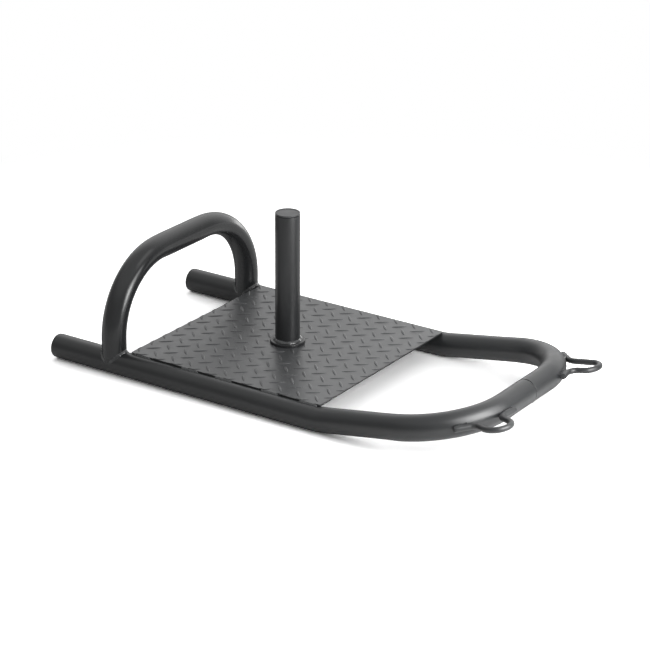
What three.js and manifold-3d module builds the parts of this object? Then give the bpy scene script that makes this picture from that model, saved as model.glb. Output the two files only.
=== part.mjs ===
// Drag sled: two bent tube runners joined at the nose, a chequer-plate deck with a post for
// weight plates, an arched push handle and two round-bar tow eyes.
// Millimetres. +X points forward to the tow eyes, +Y to the sled's left, +Z up from the floor.
import * as THREE from "three";
import { mergeGeometries, mergeVertices } from "three/addons/utils/BufferGeometryUtils.js";
import Module from "manifold-3d";

const wasm = await Module();
wasm.setup();

// Clearances between pieces
const seatGap = 0.25;
const plugClearance = 0.3;
const cutOverrun = 4;

// Frame tube, the same bar stock for runners, nose and push handle
const tubeDiameter = 50;
const tubeWall = 2;
const tubeSides = 24;
const bendSteps = 12;

// Runners: the tail goes on behind the handle, and the rise has its corner ahead of the deck
const runnerSpacing = 452;
const tailLength = 143;
const riseLead = 2.5;
const riseAngle = THREE.MathUtils.degToRad(9.6);
const riseBend = 120;
const riseSteps = 3;
const noseRun = 317;
const noseBend = 146;

// Seam in the nose, between the left and the right half of the frame
const seamOffset = 7;
const seamOpening = 0.8;
const sleeveLength = 80;
const sleeveWall = 2.5;
const seamWeldWidth = 7;
const seamWeldHeight = 1.4;
const seamWeldStart = THREE.MathUtils.degToRad(12);
const seamWeldEnd = THREE.MathUtils.degToRad(-62);
const seamWeldSteps = 8;

// Push handle, behind the deck
const handleGap = 15;
const handleHeight = 223.5;
const handleBend = 152;
const handleRootHeight = 10;
const handleWeldRadius = 3;
const handleWeldReach = THREE.MathUtils.degToRad(70);
const handleWeldSteps = 10;

// Deck plate with its raised lugs, measured from the post's axis
const deckRear = 225;
const deckFront = 230;
const deckWidth = 447;
const deckThickness = 3;
const deckCorner = 4;
const cornerSteps = 3;
const lugPitchX = 43;
const lugPitchY = 41.7;
const lugStartX = 13.8;
const lugStartY = -13.5;
const lugLength = 32.5;
const lugWidth = 6;
const lugHeight = 1.1;
const lugTopShare = 0.55;
const lugSides = 4;
const lugTurns = [THREE.MathUtils.degToRad(40), THREE.MathUtils.degToRad(-47)];

// Stitch welds along the deck's two long edges
const stitchLength = 42;
const stitchRadius = 1.7;
const stitchPlaceShares = [0.06, 0.32, 0.5, 0.742, 0.94];

// Cross tube under the deck, below the post
const crossbarDepth = 50;
const crossbarHeight = 25;
const crossbarWall = 2;

// Weight post on the deck
const postDiameter = 50;
const postWall = 3;
const postTop = 325.2;
const collarDiameter = 71;
const collarHeight = 6;
const postWeldRadius = 2.6;
const postWeldSides = 8;

// Plastic plugs in the open tube ends
const capFlange = 4;
const capChamfer = 0.8;
const capStem = 16;
const endFlange = 3;
const endFlangeInset = 0.5;
const endStem = 20;

// Tow eyes of round bar, each bent and set by hand. The right one's loop is turned outward.
// A centre and a reach count from the nose's middle and front wall, along the loop's axis.
const eyeBar = 12;
const eyeSides = 10;
const rightEyeCentre = 161.5;
const rightEyeSpan = 54.5;
const rightEyeReach = 50.5;
const rightEyeTurn = THREE.MathUtils.degToRad(29);
const rightShoulderBend = 16;
const rightHeelBend = 14;
const rightOuterTail = 8.5;
const rightInnerTail = 22;
const leftEyeCentre = 163.5;
const leftEyeSpan = 47.3;
const leftEyeReach = 54;
const leftEyeTurn = 0;
const leftShoulderBend = 30;
const leftHeelBend = 18;
const leftOuterTail = 22;
const leftInnerTail = 11;
const eyeBowSteps = 12;
const eyeShoulderSteps = 4;
const outerFootAngle = THREE.MathUtils.degToRad(45);
const innerFootAngle = THREE.MathUtils.degToRad(10);
const eyeWeldRadius = 3;
const eyeWeldShare = 0.9;
const weldSides = 8;
const weldTaperShare = 0.6;

// Sizes that follow from the ones above
const tubeRadius = tubeDiameter / 2;
const facet = Math.cos(Math.PI / tubeSides);
const axisHeight = tubeRadius * facet;
const tubeBore = tubeRadius - tubeWall;
const boreReach = tubeBore * facet - plugClearance;
const halfSpacing = runnerSpacing / 2;
const handleSetback = deckRear + handleGap + tubeRadius;
const runnerTail = handleSetback + tailLength;
const riseReach = deckFront + riseLead;
const deckLength = deckRear + deckFront;
const deckMiddle = (deckFront - deckRear) / 2;
const deckBottom = axisHeight * 2 + seatGap;
const deckTop = deckBottom + deckThickness;
const postRadius = postDiameter / 2;
const postBase = deckTop + seatGap;
const collarTop = postBase + collarHeight;
const barRadius = eyeBar / 2;
const noseX = riseReach + noseRun * Math.cos(riseAngle);
const noseZ = axisHeight + noseRun * Math.sin(riseAngle);
const eyes = [
  {
    name: "right",
    side: -1,
    centre: rightEyeCentre,
    span: rightEyeSpan,
    reach: rightEyeReach,
    turn: rightEyeTurn,
    shoulderBend: rightShoulderBend,
    heelBend: rightHeelBend,
    outerTail: rightOuterTail,
    innerTail: rightInnerTail,
  },
  {
    name: "left",
    side: 1,
    centre: leftEyeCentre,
    span: leftEyeSpan,
    reach: leftEyeReach,
    turn: leftEyeTurn,
    shoulderBend: leftShoulderBend,
    heelBend: leftHeelBend,
    outerTail: leftOuterTail,
    innerTail: leftInnerTail,
  },
];
const bowFront = (eye) => {
  const bow = barRadius + eye.span / 2;
  return (eye.reach - bow) * Math.cos(eye.turn) + bow;
};
const eyeFront = noseRun + tubeRadius + Math.max(...eyes.map(bowFront));
const eyeTipX = riseReach + eyeFront * Math.cos(riseAngle);
const middleX = (eyeTipX - runnerTail - seatGap - endFlange) / 2;
const postWeldMiddle = postRadius + seatGap + postWeldRadius;

// Finishes
const frameFinish = { color: 0x3b3c3e, roughness: 0.5, metalness: 0.25 };
const deckFinish = { color: 0x737578, roughness: 0.42, metalness: 0.35 };
const weldFinish = { color: 0x434446, roughness: 0.4, metalness: 0.3 };
const plugFinish = { color: 0x2a2b2c, roughness: 0.55, metalness: 0 };
const capFinish = { color: 0x5c5e60, roughness: 0.5, metalness: 0 };

function part(name, geometry, finish) {
  const mesh = new THREE.Mesh(geometry, new THREE.MeshStandardMaterial(finish));
  mesh.name = name;
  return mesh;
}

// A path given by its stations, each a point with the direction of travel there.
class StationPath extends THREE.Curve {
  constructor(stations) {
    super();
    this.stations = stations;
  }

  station(t) {
    return this.stations[Math.round(t * (this.stations.length - 1))];
  }

  getPoint(t, target = new THREE.Vector3()) {
    return target.copy(this.station(t).point);
  }

  getPointAt(t, target) {
    return this.getPoint(t, target);
  }

  getTangentAt(t, target = new THREE.Vector3()) {
    return target.copy(this.station(t).direction);
  }
}

// Straight runs between corners, each corner rounded to its bend radius.
function bentPath(corners, bends) {
  const stations = [];
  let direction = new THREE.Vector3().subVectors(corners[1], corners[0]).normalize();
  stations.push({ point: corners[0].clone(), direction });
  bends.forEach((bend, index) => {
    const corner = corners[index + 1];
    const next = new THREE.Vector3().subVectors(corners[index + 2], corner).normalize();
    const turn = direction.angleTo(next);
    const setback = bend.radius * Math.tan(turn / 2);
    const start = corner.clone().addScaledVector(direction, -setback);
    const inward = next.clone().addScaledVector(direction, -next.dot(direction)).normalize();
    for (let step = 0; step <= bend.steps; step += 1) {
      const angle = (turn * step) / bend.steps;
      const point = start.clone();
      point.addScaledVector(direction, bend.radius * Math.sin(angle));
      point.addScaledVector(inward, bend.radius * (1 - Math.cos(angle)));
      const heading = direction.clone().multiplyScalar(Math.cos(angle));
      heading.addScaledVector(inward, Math.sin(angle));
      stations.push({ point, direction: heading.normalize() });
    }
    direction = next;
  });
  stations.push({ point: corners.at(-1).clone(), direction });
  return stations;
}

// A round section with flats at its top and bottom, hollow where a bore is given.
function roundSection(radius, sides, bore = 0) {
  const ring = (r) =>
    Array.from({ length: sides }, (unused, index) => {
      const angle = (Math.PI * (2 * index + 1)) / sides;
      return new THREE.Vector2(r * Math.cos(angle), r * Math.sin(angle));
    });
  const section = new THREE.Shape(ring(radius));
  if (bore > 0) {
    section.holes.push(new THREE.Path(ring(bore)));
  }
  return section;
}

function sweep(section, stations) {
  return new THREE.ExtrudeGeometry(section, {
    steps: stations.length - 1,
    extrudePath: new StationPath(stations),
  });
}

// A turned piece about +Z; its profile lists radius and height pairs.
function turned(profile, segments = tubeSides) {
  const points = profile.map(([radius, height]) => new THREE.Vector2(radius, height));
  return new THREE.LatheGeometry(points, segments).rotateX(Math.PI / 2);
}

function turnedRing(outer, inner, height) {
  return turned([[inner, 0], [outer, 0], [outer, height], [inner, height], [inner, 0]]);
}

// A straight bead along +X with tapered ends.
function weldRod(radius, length) {
  const end = length / 2;
  const narrow = radius * weldTaperShare;
  const rod = turned(
    [[0, -end], [narrow, -end], [radius, narrow - end], [radius, end - narrow], [narrow, end], [0, end]],
    weldSides,
  );
  return rod.rotateY(Math.PI / 2);
}

function plug(flangeRadius, flange, stemRadius, stem) {
  return turned([
    [0, -stem],
    [stemRadius - capChamfer, -stem],
    [stemRadius, capChamfer - stem],
    [stemRadius, 0],
    [flangeRadius, 0],
    [flangeRadius, flange - capChamfer],
    [flangeRadius - capChamfer, flange],
    [0, flange],
  ]);
}

function toSolid(geometry) {
  const bare = geometry.clone();
  bare.deleteAttribute("normal");
  bare.deleteAttribute("uv");
  const merged = mergeVertices(bare);
  const mesh = new wasm.Mesh({
    numProp: 3,
    vertProperties: new Float32Array(merged.attributes.position.array),
    triVerts: new Uint32Array(merged.index.array),
  });
  return new wasm.Manifold(mesh);
}

function toGeometry(solid) {
  const mesh = solid.getMesh();
  const geometry = new THREE.BufferGeometry();
  geometry.setAttribute("position", new THREE.BufferAttribute(mesh.vertProperties, mesh.numProp));
  geometry.setIndex(new THREE.BufferAttribute(mesh.triVerts, 1));
  geometry.computeVertexNormals();
  return geometry;
}

// Frame: one half runs from the tail along the floor, up the rise and round to the seam.
function frameHalf(side) {
  const seamY = seamOffset + (side * seamOpening) / 2;
  const corners = [
    new THREE.Vector3(-runnerTail, side * halfSpacing, axisHeight),
    new THREE.Vector3(riseReach, side * halfSpacing, axisHeight),
    new THREE.Vector3(noseX, side * halfSpacing, noseZ),
    new THREE.Vector3(noseX, seamY, noseZ),
  ];
  const bends = [
    { radius: riseBend, steps: riseSteps },
    { radius: noseBend, steps: bendSteps },
  ];
  return sweep(roundSection(tubeRadius, tubeSides, tubeBore), bentPath(corners, bends));
}

function seamSleeve() {
  const sleeve = turnedRing(boreReach, boreReach - sleeveWall, sleeveLength);
  return sleeve.rotateX(-Math.PI / 2).translate(0, -sleeveLength / 2, 0);
}

// The seam is filled at the front and below by a flat bead that follows the tube round.
// The sweep carries the section's x along the tube's axis and its y towards that axis.
function seamWeld() {
  const half = seamWeldWidth / 2;
  const crown = half * weldTaperShare;
  const section = new THREE.Shape([
    new THREE.Vector2(-half, 0),
    new THREE.Vector2(-crown, -seamWeldHeight),
    new THREE.Vector2(crown, -seamWeldHeight),
    new THREE.Vector2(half, 0),
  ]);
  const reach = tubeRadius + seatGap;
  const stations = [];
  for (let step = 0; step <= seamWeldSteps; step += 1) {
    const angle = THREE.MathUtils.lerp(seamWeldStart, seamWeldEnd, step / seamWeldSteps);
    const point = new THREE.Vector3(reach * Math.cos(angle), 0, reach * Math.sin(angle));
    const direction = new THREE.Vector3(Math.sin(angle), 0, -Math.cos(angle));
    stations.push({ point, direction });
  }
  return sweep(section, stations);
}

// Push handle: an upright arch whose two feet are notched round the runners.
function handleArch() {
  const root = axisHeight + handleRootHeight;
  const corners = [
    new THREE.Vector3(0, -halfSpacing, root),
    new THREE.Vector3(0, -halfSpacing, handleHeight),
    new THREE.Vector3(0, halfSpacing, handleHeight),
    new THREE.Vector3(0, halfSpacing, root),
  ];
  const bend = { radius: handleBend, steps: bendSteps };
  const arch = sweep(roundSection(tubeRadius, tubeSides, tubeBore), bentPath(corners, [bend, bend]));
  let solid = toSolid(arch);
  for (const side of [-1, 1]) {
    const notchEnd = tubeRadius + cutOverrun;
    const runner = sweep(
      roundSection(tubeRadius + seatGap, tubeSides),
      bentPath(
        [
          new THREE.Vector3(-notchEnd, side * halfSpacing, axisHeight),
          new THREE.Vector3(notchEnd, side * halfSpacing, axisHeight),
        ],
        [],
      ),
    );
    solid = solid.subtract(toSolid(runner));
  }
  return toGeometry(solid);
}

// The bead in the corner between a handle foot and its runner, in front of it or behind it.
function handleWeld(end) {
  const reach = tubeRadius + seatGap + handleWeldRadius;
  const stations = [];
  for (let step = 0; step <= handleWeldSteps; step += 1) {
    const share = step / handleWeldSteps;
    const angle = THREE.MathUtils.lerp(-handleWeldReach, handleWeldReach, share);
    const along = reach * Math.cos(angle);
    const slope = -reach * Math.sin(angle);
    stations.push({
      point: new THREE.Vector3(end * along, reach * Math.sin(angle), along),
      direction: new THREE.Vector3(end * slope, along, slope).normalize(),
    });
  }
  return sweep(roundSection(handleWeldRadius, weldSides), stations);
}

// Deck: a flat plate carrying lugs on two interleaved grids, one per direction.
function deckOutline() {
  const x = deckLength / 2;
  const y = deckWidth / 2;
  const outline = new THREE.Shape();
  outline.moveTo(deckCorner - x, -y);
  outline.lineTo(x - deckCorner, -y);
  outline.absarc(x - deckCorner, deckCorner - y, deckCorner, -Math.PI / 2, 0);
  outline.lineTo(x, y - deckCorner);
  outline.absarc(x - deckCorner, y - deckCorner, deckCorner, 0, Math.PI / 2);
  outline.lineTo(deckCorner - x, y);
  outline.absarc(deckCorner - x, y - deckCorner, deckCorner, Math.PI / 2, Math.PI);
  outline.lineTo(-x, deckCorner - y);
  outline.absarc(deckCorner - x, deckCorner - y, deckCorner, Math.PI, Math.PI * 1.5);
  return outline;
}

function plateOf(thickness) {
  const options = { depth: thickness, bevelEnabled: false, curveSegments: cornerSteps };
  return new THREE.ExtrudeGeometry(deckOutline(), options).translate(deckMiddle, 0, deckBottom);
}

function lugField() {
  const sink = deckThickness / 2;
  const rise = lugHeight + sink;
  const pieces = [];
  lugTurns.forEach((turn, grid) => {
    const firstX = lugStartX + (grid * lugPitchX) / 2;
    const firstY = lugStartY + (grid * lugPitchY) / 2;
    const fromX = Math.ceil((-deckRear - firstX) / lugPitchX);
    const toX = Math.floor((deckFront - firstX) / lugPitchX);
    const fromY = Math.ceil((-deckWidth / 2 - firstY) / lugPitchY);
    const toY = Math.floor((deckWidth / 2 - firstY) / lugPitchY);
    for (let column = fromX; column <= toX; column += 1) {
      for (let row = fromY; row <= toY; row += 1) {
        const lug = new THREE.CylinderGeometry(lugTopShare, 1, rise, lugSides);
        lug.rotateX(Math.PI / 2).rotateZ(Math.PI / 2).scale(lugLength / 2, lugWidth / 2, 1);
        lug.rotateZ(turn);
        const x = firstX + column * lugPitchX;
        const y = firstY + row * lugPitchY;
        pieces.push(lug.translate(x, y, deckTop + lugHeight - rise / 2));
      }
    }
  });
  return mergeGeometries(pieces);
}

// The collar's top is one level; outside the post's weld it is the seat for weight plates.
function collarRing() {
  const inner = postRadius + seatGap;
  const outer = collarDiameter / 2;
  const seat = postWeldMiddle + postWeldRadius + seatGap;
  return turned([
    [inner, 0],
    [outer, 0],
    [outer, collarHeight],
    [seat, collarHeight],
    [inner, collarHeight],
    [inner, 0],
  ]);
}

function deckPlate() {
  const collarRoom = collarDiameter / 2 + seatGap;
  const ground = turned([
    [0, deckBottom],
    [collarRoom, deckBottom],
    [collarRoom, deckTop + lugHeight + cutOverrun],
    [0, deckTop + lugHeight + cutOverrun],
  ]);
  const trim = toSolid(plateOf(deckThickness + lugHeight + cutOverrun));
  const lugs = toSolid(lugField()).intersect(trim).subtract(toSolid(ground));
  return toGeometry(toSolid(plateOf(deckThickness)).add(lugs));
}

function crossbar() {
  const x = crossbarDepth / 2;
  const box = (inset) => [
    new THREE.Vector2(inset - x, inset - crossbarHeight),
    new THREE.Vector2(x - inset, inset - crossbarHeight),
    new THREE.Vector2(x - inset, -inset),
    new THREE.Vector2(inset - x, -inset),
  ];
  const section = new THREE.Shape(box(0));
  section.holes.push(new THREE.Path(box(crossbarWall)));
  const length = runnerSpacing - tubeDiameter - plugClearance * 2;
  const bar = new THREE.ExtrudeGeometry(section, { depth: length, bevelEnabled: false });
  return bar.rotateX(Math.PI / 2).translate(0, length / 2, 0);
}

// Tow eyes are laid out in the plane of the raised nose: x along the rise from its foot,
// y outward from the middle, and z square to that plane.
const cornerX = noseRun - noseBend;
const cornerY = halfSpacing - noseBend;
const footReach = noseBend + tubeRadius + seatGap + barRadius;

// A foot lies along the nose bend's outer wall and touches it at the given angle.
function footLine(angle) {
  return {
    point: new THREE.Vector2(
      cornerX + footReach * Math.cos(angle),
      cornerY + footReach * Math.sin(angle),
    ),
    heading: new THREE.Vector2(Math.sin(angle), -Math.cos(angle)),
  };
}

// The loop's arms lie on both sides of its axis, the outer one at level 1.
function armLine(eye, level) {
  const heading = new THREE.Vector2(Math.cos(eye.turn), Math.sin(eye.turn));
  const aside = new THREE.Vector2(-heading.y, heading.x);
  const root = new THREE.Vector2(noseRun + tubeRadius, eye.centre);
  return { point: root.addScaledVector(aside, (level * eye.span) / 2), heading };
}

function along(line, distance) {
  return line.point.clone().addScaledVector(line.heading, distance);
}

function meet(line, other) {
  const apart = other.point.clone().sub(line.point);
  return along(line, apart.cross(other.heading) / line.heading.cross(other.heading));
}

function eyeStations(eye) {
  const outer = footLine(outerFootAngle);
  const inner = footLine(innerFootAngle);
  const outerArm = armLine(eye, 1);
  const innerArm = armLine(eye, -1);
  const tip = eye.reach - barRadius;
  const plan = [
    along(outer, -eye.outerTail),
    meet(outer, outerArm),
    along(outerArm, tip),
    along(innerArm, tip),
    meet(inner, innerArm),
    along(inner, eye.innerTail),
  ];
  const corners = plan.map((point) => new THREE.Vector3(point.x, eye.side * point.y, 0));
  const bow = { radius: eye.span / 2, steps: eyeBowSteps / 2 };
  const bends = [
    { radius: eye.shoulderBend, steps: eyeShoulderSteps },
    bow,
    bow,
    { radius: eye.heelBend, steps: eyeShoulderSteps },
  ];
  return bentPath(corners, bends).filter(
    (station, index, all) => index === 0 || station.point.distanceTo(all[index - 1].point) > seatGap,
  );
}

// A bead lies beside the middle of a foot's straight leg, above it or below it. In the groove
// between tube wall and bar it touches both; the three centres make a triangle whose sides are
// known.
function eyeWeld(side, angle, level, leg) {
  const centres = tubeRadius + seatGap + barRadius;
  const toTube = tubeRadius + seatGap + eyeWeldRadius;
  const toBar = barRadius + seatGap + eyeWeldRadius;
  const across = (toTube ** 2 - toBar ** 2 + centres ** 2) / (2 * centres);
  const lift = Math.sqrt(toTube ** 2 - across ** 2);
  const back = centres - across;
  const away = new THREE.Vector3(Math.cos(angle), side * Math.sin(angle), 0);
  const middle = new THREE.Vector3().addVectors(leg[0].point, leg[1].point).divideScalar(2);
  const length = leg[0].point.distanceTo(leg[1].point) * eyeWeldShare;
  const bead = weldRod(eyeWeldRadius, length).rotateZ(Math.atan2(away.y, away.x) + Math.PI / 2);
  middle.addScaledVector(away, -back);
  return bead.translate(middle.x, middle.y, level * lift);
}

function buildSled() {
  const sled = new THREE.Group();
  sled.position.x = -middleX;
  const sides = [
    { name: "right", side: -1 },
    { name: "left", side: 1 },
  ];

  for (const { name, side } of sides) {
    sled.add(part(`frame_tube_${name}`, frameHalf(side), frameFinish));

    const end = part(
      `skid_plug_${name}`,
      plug(axisHeight - endFlangeInset, endFlange, boreReach, endStem),
      plugFinish,
    );
    end.rotation.y = -Math.PI / 2;
    end.position.set(-runnerTail - seatGap, side * halfSpacing, axisHeight);
    sled.add(end);

    for (const [place, ahead] of [["front", 1], ["rear", -1]]) {
      const bead = part(`handle_weld_${name}_${place}`, handleWeld(ahead), weldFinish);
      bead.position.set(-handleSetback, side * halfSpacing, axisHeight);
      sled.add(bead);
    }

    stitchPlaceShares.forEach((share, index) => {
      const stitch = part(
        `deck_stitch_${name}_${index + 1}`,
        weldRod(stitchRadius, stitchLength),
        weldFinish,
      );
      const edge = deckWidth / 2 + seatGap + stitchRadius;
      const crest = axisHeight * 2 + seatGap + stitchRadius;
      stitch.position.set(share * deckLength - deckRear, side * edge, crest);
      sled.add(stitch);
    });
  }

  const sleeve = part("nose_sleeve", seamSleeve(), frameFinish);
  sleeve.position.set(noseX, seamOffset, noseZ);
  sled.add(sleeve);

  const seam = part("nose_seam_weld", seamWeld(), weldFinish);
  seam.position.set(noseX, seamOffset, noseZ);
  sled.add(seam);

  const handle = part("push_handle", handleArch(), frameFinish);
  handle.position.x = -handleSetback;
  sled.add(handle);

  sled.add(part("deck_plate", deckPlate(), deckFinish));

  const brace = part("deck_crossbar", crossbar(), frameFinish);
  brace.position.z = deckBottom - seatGap;
  sled.add(brace);

  const post = part(
    "weight_post",
    turnedRing(postRadius, postRadius - postWall, postTop - postBase),
    frameFinish,
  );
  post.position.z = postBase;
  sled.add(post);

  const collar = part("post_collar", collarRing(), frameFinish);
  collar.position.z = postBase;
  sled.add(collar);

  const postWeld = part(
    "post_weld",
    new THREE.TorusGeometry(postWeldMiddle, postWeldRadius, postWeldSides, tubeSides),
    weldFinish,
  );
  postWeld.position.z = collarTop + seatGap + postWeldRadius;
  sled.add(postWeld);

  const cap = part(
    "post_cap",
    plug(postRadius, capFlange, (postRadius - postWall) * facet - plugClearance, capStem),
    capFinish,
  );
  cap.position.z = postTop + seatGap;
  sled.add(cap);

  const nose = new THREE.Group();
  nose.position.set(riseReach, 0, axisHeight);
  nose.rotation.y = -riseAngle;
  for (const eye of eyes) {
    const stations = eyeStations(eye);
    const bar = sweep(roundSection(barRadius, eyeSides), stations);
    nose.add(part(`tow_eye_${eye.name}`, bar, frameFinish));
    const feet = [
      { foot: "outer", angle: outerFootAngle, leg: stations.slice(0, 2) },
      { foot: "inner", angle: innerFootAngle, leg: stations.slice(-2) },
    ];
    for (const { foot, angle, leg } of feet) {
      for (const [place, level] of [["upper", 1], ["lower", -1]]) {
        const bead = eyeWeld(eye.side, angle, level, leg);
        nose.add(part(`tow_eye_weld_${eye.name}_${foot}_${place}`, bead, weldFinish));
      }
    }
  }
  sled.add(nose);
  return sled;
}

export default buildSled();
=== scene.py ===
"""Looks of the drag sled: smooth coated tubes, chequer plate, weld beads and plastic caps, built
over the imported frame. Metres. +X points to the tow eyes, +Y to the sled's left, +Z up."""

import math

import bpy
import numpy as np
from mathutils import Matrix, Vector


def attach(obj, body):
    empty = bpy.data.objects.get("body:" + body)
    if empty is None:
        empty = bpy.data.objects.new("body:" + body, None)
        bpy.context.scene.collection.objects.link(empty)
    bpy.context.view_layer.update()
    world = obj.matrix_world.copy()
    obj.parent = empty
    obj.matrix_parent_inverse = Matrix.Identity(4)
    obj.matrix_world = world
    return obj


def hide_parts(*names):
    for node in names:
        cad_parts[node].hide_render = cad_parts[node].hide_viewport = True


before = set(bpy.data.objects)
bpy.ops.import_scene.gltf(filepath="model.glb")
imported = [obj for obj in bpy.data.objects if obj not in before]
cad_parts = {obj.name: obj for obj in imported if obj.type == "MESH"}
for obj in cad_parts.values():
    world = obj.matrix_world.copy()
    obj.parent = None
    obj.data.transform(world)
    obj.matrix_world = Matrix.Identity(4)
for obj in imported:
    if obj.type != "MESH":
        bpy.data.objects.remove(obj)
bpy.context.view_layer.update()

SIDES = (("right", -1), ("left", 1))

# Stock that the sled is built from, in its nominal sizes, and the gap under each seated piece.
stock_radius = 0.025
bar_radius = 0.006
plate_thickness = 0.003
seat_gap = 0.00025

# The round frame tube touches the flats of the faceted one from inside.
tube_radius = 0.02478
tube_bore = 0.0228
lip_radius = 0.0009
axis_height = stock_radius * math.cos(math.pi / 24)
half_spacing = 0.226

# Places along the sled count from the post's axis.
deck_rear = -0.225
deck_front = 0.230
handle_setback = 0.040
tail_run = 0.143
rise_setback = 0.0025
handle_x = deck_rear - handle_setback
tail_x = handle_x - tail_run
rise_x = deck_front + rise_setback
rise_angle = math.radians(9.6)
rise_bend = 0.120
nose_run = 0.317
nose_bend = 0.146
nose_x = rise_x + nose_run * math.cos(rise_angle)
nose_z = axis_height + nose_run * math.sin(rise_angle)
seam_y = 0.007
seam_opening = 0.0018

# Each tow eye was bent and set by hand; the right one's loop is turned outward.
eye_radius = 0.0059
eyes = {
    "right": dict(side=-1, centre=0.1615, span=0.0545, reach=0.0505, turn=math.radians(29),
                  shoulder=0.016, heel=0.014, outer_tail=0.0085, inner_tail=0.022),
    "left": dict(side=1, centre=0.1635, span=0.0473, reach=0.0540, turn=0.0,
                 shoulder=0.030, heel=0.018, outer_tail=0.022, inner_tail=0.011),
}

# The row's origin is the middle of the whole box, from the plugs' faces to the longer eye's tip.
plug_stand_out = 0.00325
longest_reach = max(eye["reach"] for eye in eyes.values())
eye_tip_x = rise_x + (nose_run + stock_radius + longest_reach) * math.cos(rise_angle)
middle_x = (eye_tip_x + tail_x - plug_stand_out) / 2

# The handle's tube gave a little in its bends: narrower across, thicker the other way. The frame
# tubes only thickened, and only where they are clear of the floor.
handle_height = 0.2235
handle_bend = 0.152
handle_squeeze = 0.05
handle_spread = 0.03
frame_spread = 0.04
spread_from = 0.03
spread_ramp = 0.02

# The plate, and its lugs: two grids of one pitch, along and across, one grid for each direction.
deck_width = 0.447
deck_bottom = axis_height * 2 + seat_gap
deck_top = deck_bottom + plate_thickness
lug_pitch = np.array([0.043, 0.0417])
lug_start = np.array([0.0138, -0.0135])
lug_turns = (math.radians(40), math.radians(-47))
lug_length = 0.0325
lug_width = 0.0060
lug_height = 0.0011

post_base = deck_top + seat_gap
post_top = 0.3252
post_bore = 0.0220
collar_radius = 0.0355
collar_bore = 0.0253
collar_top = post_base + 0.006


# Meshes

def shell(grid, rows_meet=False):
    """A closed skin over a grid of points (rows, columns, 3), whose columns meet round it: each
    cell of four neighbours is a face, a row whose points coincide is one pole, and the faces are
    turned outwards when the signed volume, the sum of a . (b x c) / 6 over the triangles, is
    negative."""
    rows, columns, _ = grid.shape
    index = np.arange(rows * columns).reshape(rows, columns)
    poles = np.ptp(grid, axis=1).max(axis=1) < 1e-9
    index[poles] = index[poles, :1]
    if rows_meet:
        index = np.vstack([index, index[:1]])
    index = np.hstack([index, index[:, :1]])
    cells = np.stack([index[:-1, :-1], index[:-1, 1:], index[1:, 1:], index[1:, :-1]], axis=-1)
    cells = cells.reshape(-1, 4)
    first_pole = cells[:, 0] == cells[:, 1]
    last_pole = cells[:, 2] == cells[:, 3]
    quads = cells[~(first_pole | last_pole)]
    triangles = np.vstack([cells[first_pole][:, [0, 2, 3]], cells[last_pole][:, [0, 1, 2]]])
    points = grid.reshape(-1, 3)
    halves = np.vstack([quads[:, [0, 1, 2]], quads[:, [0, 2, 3]], triangles])
    a, b, c = points[halves[:, 0]], points[halves[:, 1]], points[halves[:, 2]]
    if np.einsum("ij,ij->", a - points.mean(0), np.cross(b - a, c - a)) < 0:
        quads, triangles = quads[:, ::-1], triangles[:, ::-1]
    used, where = np.unique(np.concatenate([quads.ravel(), triangles.ravel()]), return_inverse=True)
    quads_end = quads.size
    return points[used], where[:quads_end].reshape(-1, 4), where[quads_end:].reshape(-1, 3)


def repeated(skin, copies):
    """The skin once for each array of points in copies (count, points, 3), as one skin."""
    points, quads, triangles = skin
    shift = np.arange(len(copies))[:, None, None] * len(points)
    return copies.reshape(-1, 3), (quads + shift).reshape(-1, 4), (triangles + shift).reshape(-1, 3)


def piece(node, skins, material, crease=38):
    """One Blender object from skins, smooth but for edges sharper than crease degrees. It
    stands for the CAD node of that name. Skins count x from the post's axis, so it is moved
    back by middle_x."""
    points, faces, start = [], [], 0
    for skin_points, quads, triangles in skins:
        points.append(skin_points)
        faces += (quads + start).tolist() + (triangles + start).tolist()
        start += len(skin_points)
    mesh = bpy.data.meshes.new("finished_" + node)
    mesh.from_pydata((np.vstack(points) - [middle_x, 0, 0]).tolist(), [], faces)
    mesh.polygons.foreach_set("use_smooth", np.ones(len(faces), bool))
    mesh.set_sharp_from_angle(angle=math.radians(crease))
    mesh.materials.append(material)
    made = bpy.data.objects.new("finished_" + node, mesh)
    bpy.context.scene.collection.objects.link(made)
    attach(made, "root")
    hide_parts(node)


def unit(vectors):
    """Each vector divided by its own length."""
    return vectors / np.linalg.norm(vectors, axis=-1, keepdims=True)


def rounded(corners, radii, steps=4, margin=0.0003):
    """A profile through corners, each with radius r > 0 replaced by an arc: the arc's centre
    lies r / sin(half angle) along the corner's bisector, and it starts and ends r / tan(half
    angle) from the corner. At share s of its turn t the spoke is (sin((1 - s) t) first + sin(s t)
    last) / sin t. One more point just outside each end keeps the flats flat."""
    corners = np.array(corners, float)
    line = []
    for i, (corner, radius) in enumerate(zip(corners, radii)):
        if radius == 0:
            line.append(corner[None])
            continue
        to_last = unit(corners[i - 1] - corner)
        to_next = unit(corners[(i + 1) % len(corners)] - corner)
        half = np.arccos(np.clip(to_last @ to_next, -1, 1)) / 2
        centre = corner + unit(to_last + to_next) * radius / np.sin(half)
        start = corner + to_last * radius / np.tan(half)
        end = corner + to_next * radius / np.tan(half)
        share = np.linspace(0, 1, steps + 1)[:, None]
        turn = np.pi - 2 * half
        spokes = np.sin((1 - share) * turn) * (start - centre) + np.sin(share * turn) * (end - centre)
        line += [(start + to_last * margin)[None], centre + spokes / np.sin(turn)]
        line.append((end + to_next * margin)[None])
    return np.vstack(line)


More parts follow.
